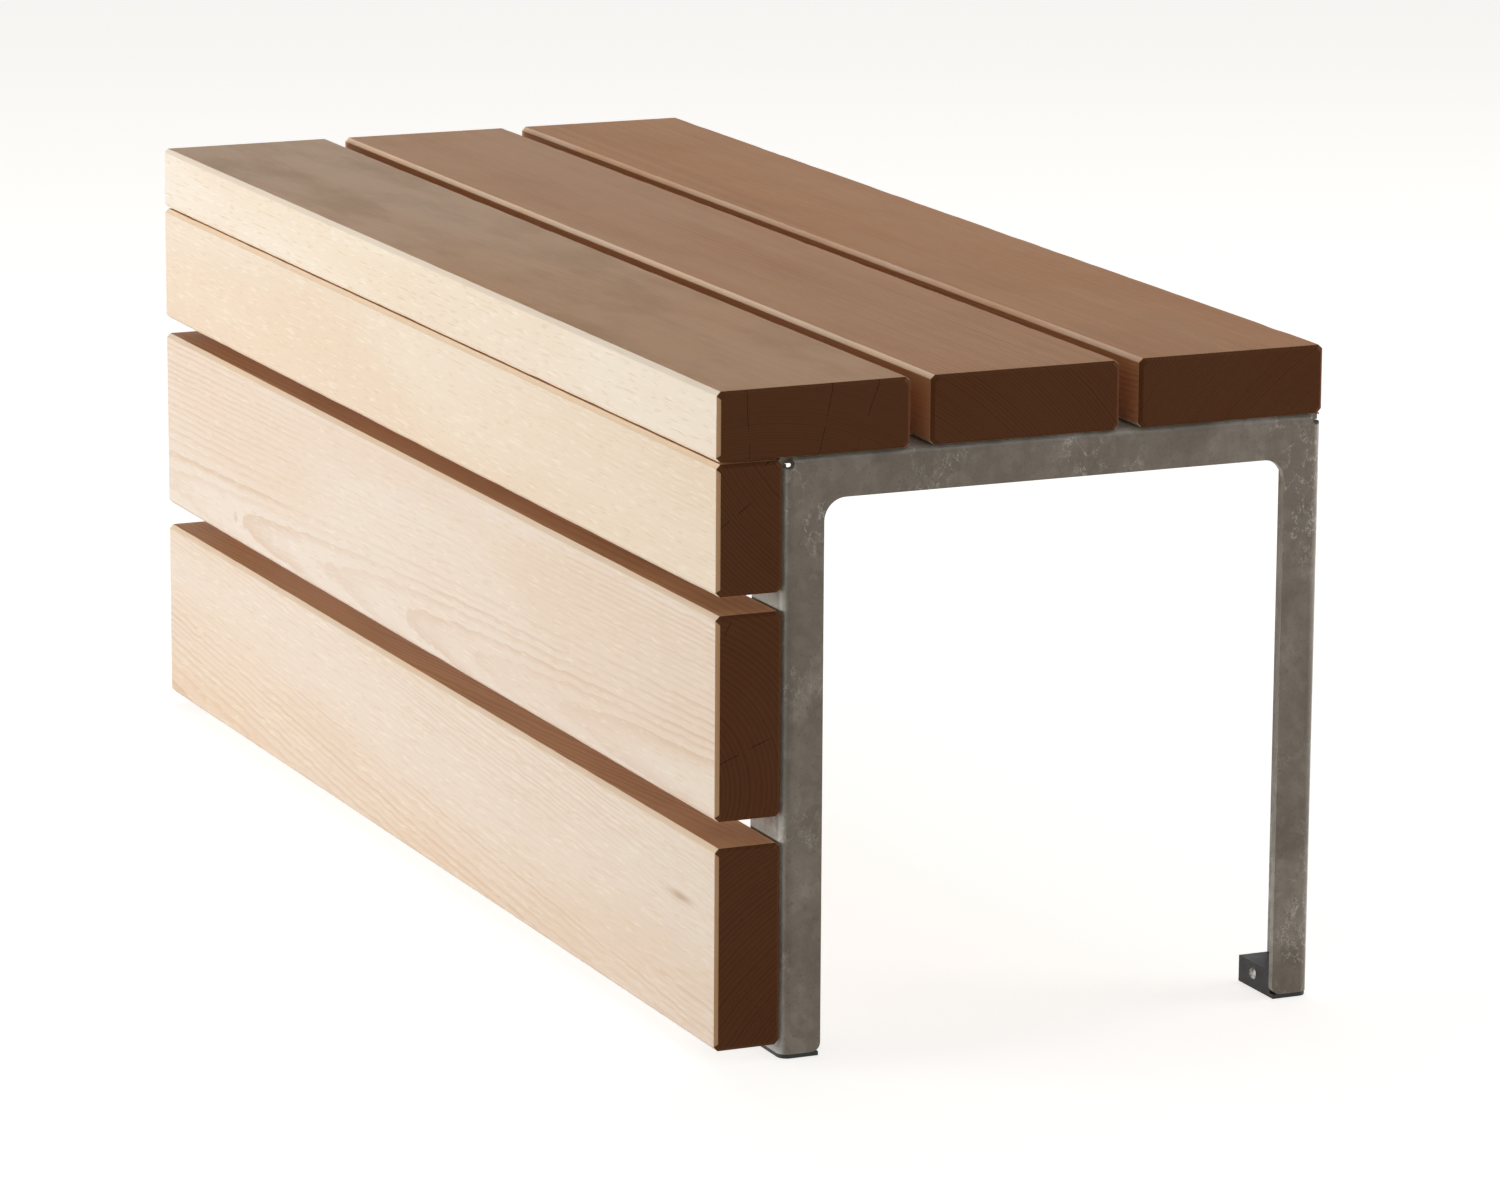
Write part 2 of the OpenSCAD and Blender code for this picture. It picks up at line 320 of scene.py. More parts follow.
def plank_parts(tree, given):
    """How much a point belongs to the plank's ends, end chamfers, sides, top, top chamfers and gap faces."""
    facing_x, facing_y, facing_z = split(tree, given["Facing"])
    front_gap_shade = Wire(tree, given["Front Gap Shade"])
    back_gap_shade = Wire(tree, given["Back Gap Shade"])
    # An end's upper and lower chamfers count with the end. So do its corners at the back and in the gaps,
    # where the end's brown is painted shade.
    corner = abs(facing_x) * facing_y
    shaded_corner = corner.ramp(*SHADED_CORNER_FROM) + (-corner).ramp(*SHADED_CORNER_FROM) * front_gap_shade
    towards_end = abs(facing_x) + abs(facing_z) * 0.4 + shaded_corner * 0.3
    end_edge = towards_end.ramp(*END_EDGE_FROM)
    side = 1.0 - end_edge
    # Painted shade on the faces that look into a gap
    gap_face = (-facing_y).ramp(*GAP_FACE_FROM) * front_gap_shade + facing_y.ramp(*GAP_FACE_FROM) * back_gap_shade
    return {
        "end edge": end_edge,
        "end": towards_end.ramp(*END_FROM),
        "side": side,
        "top edge": facing_z.ramp(*TOP_EDGE_FROM) * facing_z.ramp(*TOP_EDGE_UNTIL, 1.0, 0.0) * side,
        "top": facing_z.ramp(*TOP_FROM),
        "gap face": gap_face,
    }


HEARTWOOD = colour(235, 218, 201)
HEARTWOOD_LINE = colour(220, 194, 170)
# Top colours: a tan with painted shade on it, darker on the middle and back planks and on the board tops that
# lie in the gaps
TOP_TAN_AND_SHADE = colour(213, 172, 137)
TOP_TAN_AND_SHADE_MIDDLE = colour(204, 156, 118)
TOP_TAN_AND_SHADE_BACK = colour(200, 150, 109)
TOP_TAN_AND_SHADE_BOARD = colour(217, 166, 126)
TOP_TAN_AND_SHADE_LINE = colour(221, 211, 200)
# Painted shade on the faces that look into the gaps between planks
GAP_SHADE = colour(212, 160, 120)
GAP_SHADE_LINE = colour(190, 138, 98)
END_EDGE = colour(196, 158, 120)
# End grain, darkened further with painted shade
END_GRAIN_AND_SHADE = colour(119, 76, 48)
END_GRAIN_AND_SHADE_LATE = colour(100, 64, 40)
PINK_CAST = colour(252, 246, 240)
STRAW_CAST = colour(254, 250, 240)
SMUDGE = colour(214, 207, 196)
# A painted sheen that greys and lightens the left part of a top
PAINTED_SHEEN_GREY = colour(214, 200, 181)
FLECK_PALE = colour(251, 242, 226)
FLECK_GOLD = colour(222, 196, 160)
KNOT_BROWN = colour(168, 130, 98)
CHECK_BROWN = colour(58, 36, 22)
# Painted highlight: a paler colour for the arrises
ARRIS_HIGHLIGHT = colour(246, 234, 218)


def wood_tones(tree, given, part, heart):
    """The colours of early and late wood: heartwood, then a tanned top, gap faces and brown ends, all with
    painted shade.
    """
    early = mix_colours(tree, heart, given["Early"], HEARTWOOD)
    late = mix_colours(tree, heart, given["Late"], HEARTWOOD_LINE)
    tan_and_shade_line = mix_colours(tree, 1.0, given["Tanned"], TOP_TAN_AND_SHADE_LINE, "MULTIPLY")
    # Tops take a tan with painted shade. Gap faces take painted shade. Ends take brown end grain with painted
    # shade.
    for share, early_tone, late_tone in (
            (part["top"], given["Tanned"], tan_and_shade_line), (part["gap face"], GAP_SHADE, GAP_SHADE_LINE),
            (part["end edge"], END_EDGE, END_EDGE), (part["end"], END_GRAIN_AND_SHADE, END_GRAIN_AND_SHADE_LATE)):
        early = mix_colours(tree, share, early, early_tone)
        late = mix_colours(tree, share, late, late_tone)
    return early, late


def sheen_and_smudge_top(tree, given, part, blotch, smudge, shade):
    """Greys the left part of a top with a painted sheen, and smudges all of it."""
    x = split(tree, given["Position"])[0]
    left_part = (x + (blotch - 0.5) * 0.5).ramp(-0.45, 0.25, 1.0, 0.0)
    shade = mix_colours(tree, left_part * part["top"] * Wire(tree, given["Weathered"]), shade, PAINTED_SHEEN_GREY)
    smudged = smudge.ramp(0.40, 0.68) * part["top"] * Wire(tree, given["Smudged"])
    return mix_colours(tree, smudged, shade, SMUDGE, "MULTIPLY")


def planed_wood_group(rings_group, checks_group):
    """Planed softwood: rings, heartwood, fibres, flecks, drying checks, a tanned top, brown ends, painted
    shade and highlights.
    """
    tree, given, gives = new_group("Planed wood", "ShaderNodeTree", [
        ("Position", VECTOR, None), ("Facing", VECTOR, None),
        ("Centre", VECTOR, (0, 0, 0)), ("Half Size", VECTOR, (1, 1, 1)),
        ("Pith", VECTOR, (0, 0, 0)), ("Lean", VECTOR, (0, 0, 0)), ("Ring Width", FLOAT, 3 * MM),
        ("Wander", FLOAT, 10 * MM), ("Ripple", FLOAT, 2 * MM), ("Heart Radius", FLOAT, 0.0),
        ("Knot", VECTOR, (0, 0, 0)), ("Knot Size", FLOAT, 4 * MM),
        ("Figure", FLOAT, 1.0), ("Flecks", FLOAT, 0.3),
        ("Early", COLOUR, None), ("Late", COLOUR, None), ("Tanned", COLOUR, TOP_TAN_AND_SHADE), ("Edge", COLOUR, None),
        ("Smudged", FLOAT, 0.2), ("Weathered", FLOAT, 0.0), ("Front Gap Shade", FLOAT, 0.0),
        ("Back Gap Shade", FLOAT, 0.0), ("Seed", FLOAT, 0.0),
    ], [("Colour", COLOUR, None), ("Roughness", FLOAT, None), ("Height", FLOAT, None)])
    position = given["Position"]
    seed = Wire(tree, given["Seed"])
    shift = seed_shift(tree, seed)
    rings = add_node(tree, "ShaderNodeGroup", node_tree=rings_group)
    for name in ("Position", "Pith", "Lean", "Ring Width", "Wander", "Ripple", "Knot", "Knot Size", "Seed"):
        feed(tree, rings.inputs[name], given[name])
    late, radius, knot = (Wire(tree, rings.outputs[name]) for name in ("Latewood", "Radius", "Knot"))
    checks = add_node(tree, "ShaderNodeGroup", {
        "Radius": radius, "Turn": rings.outputs["Turn"], "Seed": seed}, node_tree=checks_group)
    part = plank_parts(tree, given)
    check = Wire(tree, checks.outputs["Check"]) * part["end"]

    figure, blotch, tone = noises(tree, position, FIGURE_WAVES, shift, detail=1)
    streak = noise(tree, position, STREAK_WAVES, shift, detail=3, roughness=0.6)
    fibre = noise(tree, position, FIBRE_WAVES, shift, detail=1)
    pale_fleck, gold_fleck, _ = noises(tree, position, FLECK_WAVES, shift, detail=1)
    smudge = noise(tree, position, SMUDGE_WAVES, shift, detail=4, roughness=0.6)
    flecks = Wire(tree, given["Flecks"]) * part["side"] * (1.0 - part["top"] * 0.9) * (1.0 - part["gap face"])

    heart_edge = radius + (blotch - 0.5) * 0.05 - Wire(tree, given["Heart Radius"])
    early, dark = wood_tones(tree, given, part, heart_edge.ramp(-12 * MM, 12 * MM, 1.0, 0.0))
    shown = figure.ramp(0.36, 0.60, 0.25, 1.0) * Wire(tree, given["Figure"])
    grain = late * (shown * part["side"] + part["end"]) + (streak - 0.5) * 0.35 * part["side"]
    shade = mix_colours(tree, grain.maths("MAXIMUM", 0.0).maths("MINIMUM", 1.0), early, dark)
    shade = mix_colours(tree, blotch.ramp(0.40, 0.62) * 0.8, shade, PINK_CAST, "MULTIPLY")
    shade = mix_colours(tree, tone.ramp(0.40, 0.72) * 0.4 * part["side"], shade, STRAW_CAST, "MULTIPLY")
    shade = sheen_and_smudge_top(tree, given, part, blotch, smudge, shade)
    shade = mix_colours(tree, fibre.ramp(0.6, 0.78) * 0.14, shade, dark)
    shade = mix_colours(tree, gold_fleck.ramp(0.58, 0.70) * flecks, shade, FLECK_GOLD)
    shade = mix_colours(tree, pale_fleck.ramp(0.58, 0.70) * flecks, shade, FLECK_PALE)
    shade = mix_colours(tree, knot * 0.6, shade, KNOT_BROWN)
    shade = mix_colours(tree, check * 0.6, shade, CHECK_BROWN)
    # Painted highlight: paler near the arrises, where they would catch the light
    arris_highlight = from_arris(tree, position, given["Centre"], given["Half Size"]).ramp(0.5 * MM, 4 * MM, 1.0, 0.0)
    shade = mix_colours(tree, arris_highlight * part["side"] * 0.12, shade, ARRIS_HIGHLIGHT)
    # Painted light and shade: the top chamfers take their plank's edge colour
    shade = mix_colours(tree, part["top edge"] * smudge.ramp(0.35, 0.6, 1.0, 0.6), shade, given["Edge"])
    feed(tree, gives["Colour"], shade)
    feed(tree, gives["Roughness"], late * -0.06 + (streak - 0.5) * 0.2 + part["end"] * 0.15 + 0.58)
    pores = fibre.ramp(0.62, 0.8)
    feed(tree, gives["Height"], late * shown * 0.4 + streak * 0.35 - pores * 0.4 - check * 3.0)
    return tree


def new_material(name):
    """An empty Principled material. Returns it, its tree and its shader node."""
    material = bpy.data.materials.new(name)
    material.use_nodes = True
    tree = material.node_tree
    return material, tree, tree.nodes["Principled BSDF"]


def object_coordinates(tree):
    """A point's place and its facing, both in the piece's own axes."""
    made = tree.nodes.new("ShaderNodeTexCoord")
    return made.outputs["Object"], made.outputs["Normal"]


def feed_shader(tree, shader, finish, bump_depth, bump_strength):
    """Links a finish's outputs to the shader sockets that they are for, and its height through a bump."""
    for name, socket in (("Colour", "Base Color"), ("Roughness", "Roughness"), ("Metallic", "Metallic")):
        if name in finish:
            feed(tree, shader.inputs[socket], finish[name])
    bump = add_node(tree, "ShaderNodeBump", {
        "Height": finish["Height"], "Distance": bump_depth, "Strength": bump_strength})
    feed(tree, shader.inputs["Normal"], bump.outputs["Normal"])


# A place outside every plank
NO_KNOT = (9, 9, 9)
DRY_WOOD_SPECULAR = 0.1


def plank_wood(wood_group, node, pith, lean, early, late, seed, knot=NO_KNOT, **looks):
    """The wood of one plank, sawn out of its own place in a trunk."""
    low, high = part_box(node)
    material, tree, shader = new_material(node + "_wood")
    position, facing = object_coordinates(tree)
    named = {name.replace("_", " ").title(): value for name, value in looks.items()}
    wood = add_node(tree, "ShaderNodeGroup", {
        "Position": position, "Facing": facing, "Centre": (low + high) / 2, "Half Size": (high - low) / 2,
        "Pith": (0, *pith), "Lean": (0, *lean), "Knot": knot, "Early": early, "Late": late, "Seed": seed,
        **named}, node_tree=wood_group)
    feed_shader(tree, shader, wood.outputs, bump_depth=0.25 * MM, bump_strength=0.6)
    shader.inputs["Specular IOR Level"].default_value = DRY_WOOD_SPECULAR
    return material


ZINC = colour(168, 167, 161)
ZINC_PALE = colour(196, 197, 193)
ZINC_DULL = colour(143, 140, 132)
ZINC_STAIN = colour(108, 101, 91)
ZINC_BRIGHT = colour(224, 225, 221)
ZINC_PIT = colour(62, 56, 50)
# Painted shade: a brown that multiplies the web, the faces that face along the bench
WEB_SHADE = colour(196, 184, 173)

# Waves a metre of each zinc noise, along X, Y and Z
PATCH_WAVES = (15, 15, 11)
WISP_WAVES = (62, 62, 48)
RUN_WAVES = (75, 75, 5)
LUMP_WAVES = (105, 105, 80)
GRIT_WAVES = (520, 520, 520)
# Waves a metre that make the spangle's edges ragged, and how far they move them
FROST_WAVES = 140.0
FROST_REACH = 6 * MM
# Places a metre where a pit may be, and how rare it is
PIT_PLACES = 42.0
PIT_CHANCE = (0.84, 0.86)
# How far a surface has to face along the bench to count as the frame's web, which gets painted shade
WEB_FROM = (0.6, 0.9)


def galvanised_group():
    """Hot-dipped zinc gone dull: soft patches, spangle, wisps, runs, stains and pits, with painted shade that
    browns the web.
    """
    tree, given, gives = new_group("Galvanising", "ShaderNodeTree", [
        ("Position", VECTOR, None), ("Facing", VECTOR, None), ("Spangle Size", FLOAT, 6 * MM),
        ("Seed", FLOAT, 0.0),
    ], [("Colour", COLOUR, None), ("Roughness", FLOAT, None), ("Metallic", FLOAT, None),
        ("Height", FLOAT, None)])
    position = given["Position"]
    shift = seed_shift(tree, Wire(tree, given["Seed"]))
    patch, bloom, worn = noises(tree, position, PATCH_WAVES, shift, detail=4, roughness=0.6)
    frost = add_node(tree, "ShaderNodeTexNoise", {"Vector": position, "Scale": FROST_WAVES, "Detail": 3.0})
    ragged = add_node(tree, "ShaderNodeVectorMath", {
        0: frost.outputs[1], 1: (FROST_REACH,) * 3, 2: position}, operation="MULTIPLY_ADD").outputs[0]
    cells = add_node(tree, "ShaderNodeTexVoronoi", {
        "Vector": ragged, "Scale": Wire(tree, given["Spangle Size"]).maths("POWER", -1.0)})
    spangle, _, glint = split(tree, cells.outputs["Color"])
    lines = noise(tree, position, WISP_WAVES, shift, detail=4, roughness=0.72)
    wisp = abs(lines - 0.5).ramp(0.0, 0.016, 1.0, 0.0) * worn.ramp(0.47, 0.62)
    runs = noise(tree, position, RUN_WAVES, shift, detail=3)
    lumps = noise(tree, position, LUMP_WAVES, shift, detail=2)
    grit = noise(tree, position, GRIT_WAVES, shift, detail=2)
    dots = add_node(tree, "ShaderNodeTexVoronoi", {"Vector": position, "Scale": PIT_PLACES})
    chosen = split(tree, dots.outputs["Color"])[0].ramp(*PIT_CHANCE)
    pit = Wire(tree, dots.outputs["Distance"]).ramp(0.03, 0.07, 1.0, 0.0) * chosen
    web = abs(split(tree, given["Facing"])[0]).ramp(*WEB_FROM)

    shade = mix_colours(tree, patch.ramp(0.32, 0.66), ZINC_DULL, ZINC)
    shade = mix_colours(tree, bloom.ramp(0.50, 0.68) * 0.8, shade, ZINC_PALE)
    shade = mix_colours(tree, abs(spangle - 0.5) * 0.30, shade, ZINC_PALE)
    shade = mix_colours(tree, runs.ramp(0.50, 0.70) * 0.35, shade, ZINC_DULL)
    shade = mix_colours(tree, bloom.ramp(0.30, 0.42, 1.0, 0.0) * 0.55, shade, ZINC_STAIN)
    shade = mix_colours(tree, grit.ramp(0.56, 0.74) * 0.35, shade, ZINC_STAIN)
    # Painted shade browns and darkens the web, and its wisps show fainter there
    shade = mix_colours(tree, web, shade, WEB_SHADE, "MULTIPLY")
    shade = mix_colours(tree, wisp * (web * -0.25 + 0.5), shade, ZINC_BRIGHT)
    shade = mix_colours(tree, pit * 0.8, shade, ZINC_PIT)
    feed(tree, gives["Colour"], shade)
    feed(tree, gives["Roughness"], bloom.ramp(0.35, 0.7) * 0.16 + glint * 0.10 - wisp * 0.1 + 0.38)
    feed(tree, gives["Metallic"], spangle * 0.2 + wisp * 0.3 + 0.3)
    feed(tree, gives["Height"], runs * 0.5 + lumps * 0.7 + patch * 0.6 + grit * 0.12 - pit)
    return tree


def galvanised_plate(zinc_group):
    material, tree, shader = new_material("galvanised_plate")
    position, facing = object_coordinates(tree)
    zinc = add_node(tree, "ShaderNodeGroup", {
        "Position": position, "Facing": facing, "Seed": 2.0}, node_tree=zinc_group)
    feed_shader(tree, shader, zinc.outputs, bump_depth=0.5 * MM, bump_strength=0.35)
    return material


PLASTIC_BLACK = colour(38, 38, 40)
PLASTIC_SCUFFED = colour(78, 76, 74)
STEEL_BRIGHT = colour(190, 190, 186)
STEEL_DULL = colour(140, 136, 129)

# Waves a metre, the same along X, Y and Z
MOULD_GRAIN_WAVES = (1500, 1500, 1500)
SCUFF_WAVES = (120, 120, 120)
DULL_SPOT_WAVES = (260, 260, 260)


def moulded_plastic():
    """Black plastic with the fine texture of its mould and a little grey scuffing."""
    material, tree, shader = new_material("black_plastic")
    position, _ = object_coordinates(tree)
    grain = noise(tree, position, MOULD_GRAIN_WAVES, (0, 0, 0), detail=1)
    scuff = noise(tree, position, SCUFF_WAVES, (4, 1, 7), detail=4, roughness=0.7)
    finish = {"Colour": mix_colours(tree, scuff.ramp(0.55, 0.8), PLASTIC_BLACK, PLASTIC_SCUFFED),
              "Roughness": scuff * 0.3 + 0.42, "Height": grain}
    feed_shader(tree, shader, finish, bump_depth=0.1 * MM, bump_strength=0.3)
    return material


def screw_steel():
    """Bright steel with dull spots."""
    material, tree, shader = new_material("screw_steel")
    position, _ = object_coordinates(tree)
    dull = noise(tree, position, DULL_SPOT_WAVES, (2, 5, 3), detail=3)
    finish = {"Colour": mix_colours(tree, dull.ramp(0.4, 0.7), STEEL_BRIGHT, STEEL_DULL),
              "Roughness": dull.ramp(0.3, 0.7) * 0.25 + 0.22, "Height": dull}
    feed_shader(tree, shader, finish, bump_depth=0.1 * MM, bump_strength=0.3)
    shader.inputs["Metallic"].default_value = 1.0
    return material


# Waves a metre of the rubbed places, along, across and up the plank
RUB_WAVES = (28, 60, 60)


def plank_tree():
    """Geometry nodes: one plank from its sizes, with chamfered long edges and ends and worn arrises."""
    tree, given, gives = new_group("Plank", "GeometryNodeTree", [
        ("Length", FLOAT, 1.0), ("Width", FLOAT, 0.1), ("Height", FLOAT, 0.05), ("Middle", VECTOR, (0, 0, 0)),
        ("Edge Cut", FLOAT, 3 * MM), ("Edge Soft", FLOAT, 0.9 * MM), ("Soft Steps", INTEGER, 3),
        ("End Cut", FLOAT, 2.5 * MM), ("Cut Crispness", FLOAT, 1.9), ("End Steps", INTEGER, 5),
        ("Stations", INTEGER, 121),
        ("Wear", FLOAT, 0.35 * MM), ("Seed", FLOAT, 0.0), ("Material", MATERIAL, None),
    ], [("Geometry", GEOMETRY, None)])
    length, width, height, end_cut, end_steps, crispness = (
        Wire(tree, given[name]) for name in ("Length", "Width", "Height", "End Cut", "End Steps",
                                             "Cut Crispness"))
    last = Wire(tree, given["Stations"]) - 1.0

    # A fillet of one step is a chamfer. A second, small one softens its two edges.
    outline = add_node(tree, "GeometryNodeCurvePrimitiveQuadrilateral", {"Width": width, "Height": height})
    cut = add_node(tree, "GeometryNodeFilletCurve", {
        "Curve": outline.outputs[0], "Count": 1, "Radius": given["Edge Cut"]}, mode="POLY")
    section = add_node(tree, "GeometryNodeFilletCurve", {
        "Curve": cut.outputs[0], "Count": given["Soft Steps"], "Radius": given["Edge Soft"]}, mode="POLY")

    # Stations along the plank: close together over each chamfer, evenly spaced between.
    # Crispness 1 rounds the cut, and 2 makes it straight.
    station = Wire(tree, tree.nodes.new("GeometryNodeInputIndex").outputs[0])
    from_end = station.maths("MINIMUM", last - station)
    turn = (from_end / end_steps).maths("MINIMUM", 1.0) * (math.pi / 2)
    pitch = (length - end_cut * 2.0) / (last - end_steps * 2.0)
    out = turn.maths("COSINE").maths("MAXIMUM", 0.0).maths("POWER", crispness)
    up = turn.maths("SINE").maths("MAXIMUM", 0.0).maths("POWER", crispness)
    from_face = end_cut * (1.0 - out) + (from_end - end_steps).maths("MAXIMUM", 0.0) * pitch
    x = (station - last / 2.0).maths("SIGN") * (length / 2.0 - from_face)
    inset = end_cut * (1.0 - up)
    line = add_node(tree, "GeometryNodeCurvePrimitiveLine")
    stations = add_node(tree, "GeometryNodeResampleCurve", {
        "Curve": line.outputs[0], "Count": given["Stations"]})
    marked = add_node(tree, "GeometryNodeStoreNamedAttribute", {
        "Geometry": stations.outputs[0], "Name": "inset", "Value": inset}, data_type="FLOAT", domain="POINT")
    placed = add_node(tree, "GeometryNodeSetPosition", {
        "Geometry": marked.outputs[0], "Position": join(tree, x, 0.0, 0.0)})
    swept = add_node(tree, "GeometryNodeCurveToMesh", {
        "Curve": placed.outputs[0], "Profile Curve": section.outputs[0], "Fill Caps": True})

    # Draw the ends in, and wear the arrises unevenly
    here = tree.nodes.new("GeometryNodeInputPosition").outputs[0]
    _, y, z = split(tree, here)
    drawn_in = Wire(tree, add_node(tree, "GeometryNodeInputNamedAttribute", {"Name": "inset"}).outputs[0])
    facing = tree.nodes.new("GeometryNodeInputNormal").outputs["Normal"]
    rub = noise(tree, here, RUB_WAVES, seed_shift(tree, Wire(tree, given["Seed"])), detail=3)
    wear = rub.ramp(0.45, 0.75) * Wire(tree, given["Wear"])
    worn = add_node(tree, "ShaderNodeVectorMath", {0: facing, "Scale": -wear}, operation="SCALE").outputs[0]
    eased = join(tree, 0.0, -(y * drawn_in / (width / 2.0)), -(z * drawn_in / (height / 2.0)))
    shaped = add_node(tree, "GeometryNodeSetPosition", {
        "Geometry": swept.outputs[0], "Offset": vector_maths(tree, "ADD", eased, worn)})
    moved = add_node(tree, "GeometryNodeTransform", {
        "Geometry": shaped.outputs[0], "Translation": given["Middle"]})
    smooth = add_node(tree, "GeometryNodeSetShadeSmooth", {"Geometry": moved.outputs[0]})
    finish_geometry(tree, smooth, given, gives)
    return tree


def finish_geometry(tree, made, given, gives):
    """Ends a tree: instances become real and take the material."""
    real = add_node(tree, "GeometryNodeRealizeInstances", {"Geometry": made.outputs[0]})
    painted = add_node(tree, "GeometryNodeSetMaterial", {
        "Geometry": real.outputs[0], "Material": given["Material"]})
    feed(tree, gives["Geometry"], painted.outputs[0])


# The neck lies this far under the dome's rim. The dome's outline stops at this share of the way to its
# top, and a small flat closes it.
NECK_STEP = 0.01 * MM
DOME_REACH = 0.95


def turned_screw(tree, given):
    """One screw turned from its outline, head down at the origin, with a six-sided socket in the dome."""
    length, shank, point, tip, head_width, head_height, socket, socket_depth, steps = (
        Wire(tree, given[name]) for name in ("Length", "Shank", "Point", "Tip", "Head Width", "Head Height",
                                             "Socket", "Socket Depth", "Dome Steps"))

    # Stations of the outline: tip, end of the shank, neck, then the dome from its rim to its top
    rim = head_width / 2.0
    dome = (rim * rim + head_height * head_height) / (head_height * 2.0)
    station = Wire(tree, tree.nodes.new("GeometryNodeInputIndex").outputs[0])
    tip_here = station.maths("LESS_THAN", 0.5)
    shank_end_here = station.maths("LESS_THAN", 1.5) - tip_here
    neck_here = station.maths("LESS_THAN", 2.5) - tip_here - shank_end_here
    dome_here = station.maths("GREATER_THAN", 2.5)
    lean = (rim / dome).maths("ARCSINE") * (1.0 - (station - 3.0) / steps * DOME_REACH)
    girth = tip_here * tip / 2.0 + (shank_end_here + neck_here) * shank / 2.0 \
        + dome_here * dome * lean.maths("SINE")
    z = tip_here * length + shank_end_here * (length - point) + neck_here * NECK_STEP \
        + dome_here * (dome - head_height - dome * lean.maths("COSINE"))
    line = add_node(tree, "GeometryNodeCurvePrimitiveLine")
    stations = add_node(tree, "GeometryNodeResampleCurve", {"Curve": line.outputs[0], "Count": steps + 4.0})
    marked = add_node(tree, "GeometryNodeStoreNamedAttribute", {
        "Geometry": stations.outputs[0], "Name": "girth", "Value": girth}, data_type="FLOAT", domain="POINT")
    placed = add_node(tree, "GeometryNodeSetPosition", {
        "Geometry": marked.outputs[0], "Position": join(tree, 0.0, 0.0, z)})
    ring = add_node(tree, "GeometryNodeCurvePrimitiveCircle", {"Resolution": given["Sides"], "Radius": 1.0})
    girth_there = add_node(tree, "GeometryNodeInputNamedAttribute", {"Name": "girth"}).outputs[0]
    turned = add_node(tree, "GeometryNodeCurveToMesh", {
        "Curve": placed.outputs[0], "Profile Curve": ring.outputs[0], "Scale": girth_there,
        "Fill Caps": True})

    cutter = add_node(tree, "GeometryNodeMeshCylinder", {
        "Vertices": 6, "Radius": socket / 2.0, "Depth": socket_depth * 2.0})
    lowered = add_node(tree, "GeometryNodeTransform", {
        "Geometry": cutter.outputs[0], "Translation": join(tree, 0.0, 0.0, -head_height)})
    drilled = add_node(tree, "GeometryNodeMeshBoolean", {
        "Mesh 1": turned.outputs[0], "Mesh 2": lowered.outputs[0]}, operation="DIFFERENCE", solver="EXACT")
    smooth = add_node(tree, "GeometryNodeSetShadeSmooth", {"Geometry": drilled.outputs[0]})
    fold = Wire(tree, tree.nodes.new("GeometryNodeInputMeshEdgeAngle").outputs[0])
    return add_node(tree, "GeometryNodeSetShadeSmooth", {
        "Geometry": smooth.outputs[0], "Selection": fold.maths("GREATER_THAN", SHARP_FOLD),
        "Shade Smooth": False}, domain="EDGE")


def screw_tree():
    """Geometry nodes: a dome-head screw at every point given, its shank along that point's "along" vector."""
    tree, given, gives = new_group("Screws", "GeometryNodeTree", [
        ("Places", GEOMETRY, None), ("Length", FLOAT, 40 * MM), ("Shank", FLOAT, 5 * MM),
        ("Point", FLOAT, 6 * MM), ("Tip", FLOAT, 1.2 * MM), ("Head Width", FLOAT, 11 * MM),
        ("Head Height", FLOAT, 3.2 * MM), ("Socket", FLOAT, 4.6 * MM), ("Socket Depth", FLOAT, 2 * MM),
        ("Dome Steps", INTEGER, 8), ("Sides", INTEGER, 32), ("Seed", INTEGER, 1),
        ("Material", MATERIAL, None),
    ], [("Geometry", GEOMETRY, None)])
    screw = turned_screw(tree, given)

    # Each screw points its own way and is driven to its own turn
    along = add_node(tree, "GeometryNodeInputNamedAttribute", {"Name": "along"}, data_type="FLOAT_VECTOR")
    aimed = add_node(tree, "FunctionNodeAlignRotationToVector", {"Vector": along.outputs[0]}, axis="Z")
    spin = add_node(tree, "FunctionNodeRandomValue", {
        2: 0.0, 3: math.tau, "Seed": given["Seed"]}, data_type="FLOAT")
    driven = add_node(tree, "FunctionNodeAxisAngleToRotation", {"Axis": (0, 0, 1), "Angle": spin.outputs[1]})
    turned_in = add_node(tree, "FunctionNodeRotateRotation", {
        "Rotation": aimed.outputs[0], "Rotate By": driven.outputs[0]}, rotation_space="LOCAL")
    set_in = add_node(tree, "GeometryNodeInstanceOnPoints", {
        "Points": given["Places"], "Instance": screw.outputs[0], "Rotation": turned_in.outputs[0]})
    finish_geometry(tree, set_in, given, gives)
    return tree


def mesh_from_tree(name, tree, values, base=None):
    """Evaluates a node tree on an object and returns the result as a plain mesh object at the origin."""
    maker = bpy.data.objects.new(name + "_maker", base or bpy.data.meshes.new(name + "_maker"))
    bpy.context.scene.collection.objects.link(maker)
    modifier = maker.modifiers.new("Make", "NODES")
    modifier.node_group = tree
    for item in tree.interface.items_tree:
        if item.item_type == "SOCKET" and item.in_out == "INPUT" and item.name in values:
            modifier[item.identifier] = values[item.name]
    maker.update_tag()
    graph = bpy.context.evaluated_depsgraph_get()
    mesh = bpy.data.meshes.new_from_object(maker.evaluated_get(graph))
    mesh.name = name
    bpy.data.objects.remove(maker)
    made = bpy.data.objects.new(name, mesh)
    bpy.context.scene.collection.objects.link(made)
    return made


def flatten_wide_faces(piece):
    """Keeps broad faces flat in shading while the softened edges beside them stay smooth."""
    modifier = piece.modifiers.new("Flat faces", "WEIGHTED_NORMAL")
    modifier.weight = 100
    modifier.keep_sharp = True


def dress(piece, node):
    """The piece stands for a CAD node and rides with it."""
    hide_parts(node)
    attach(piece, "root")


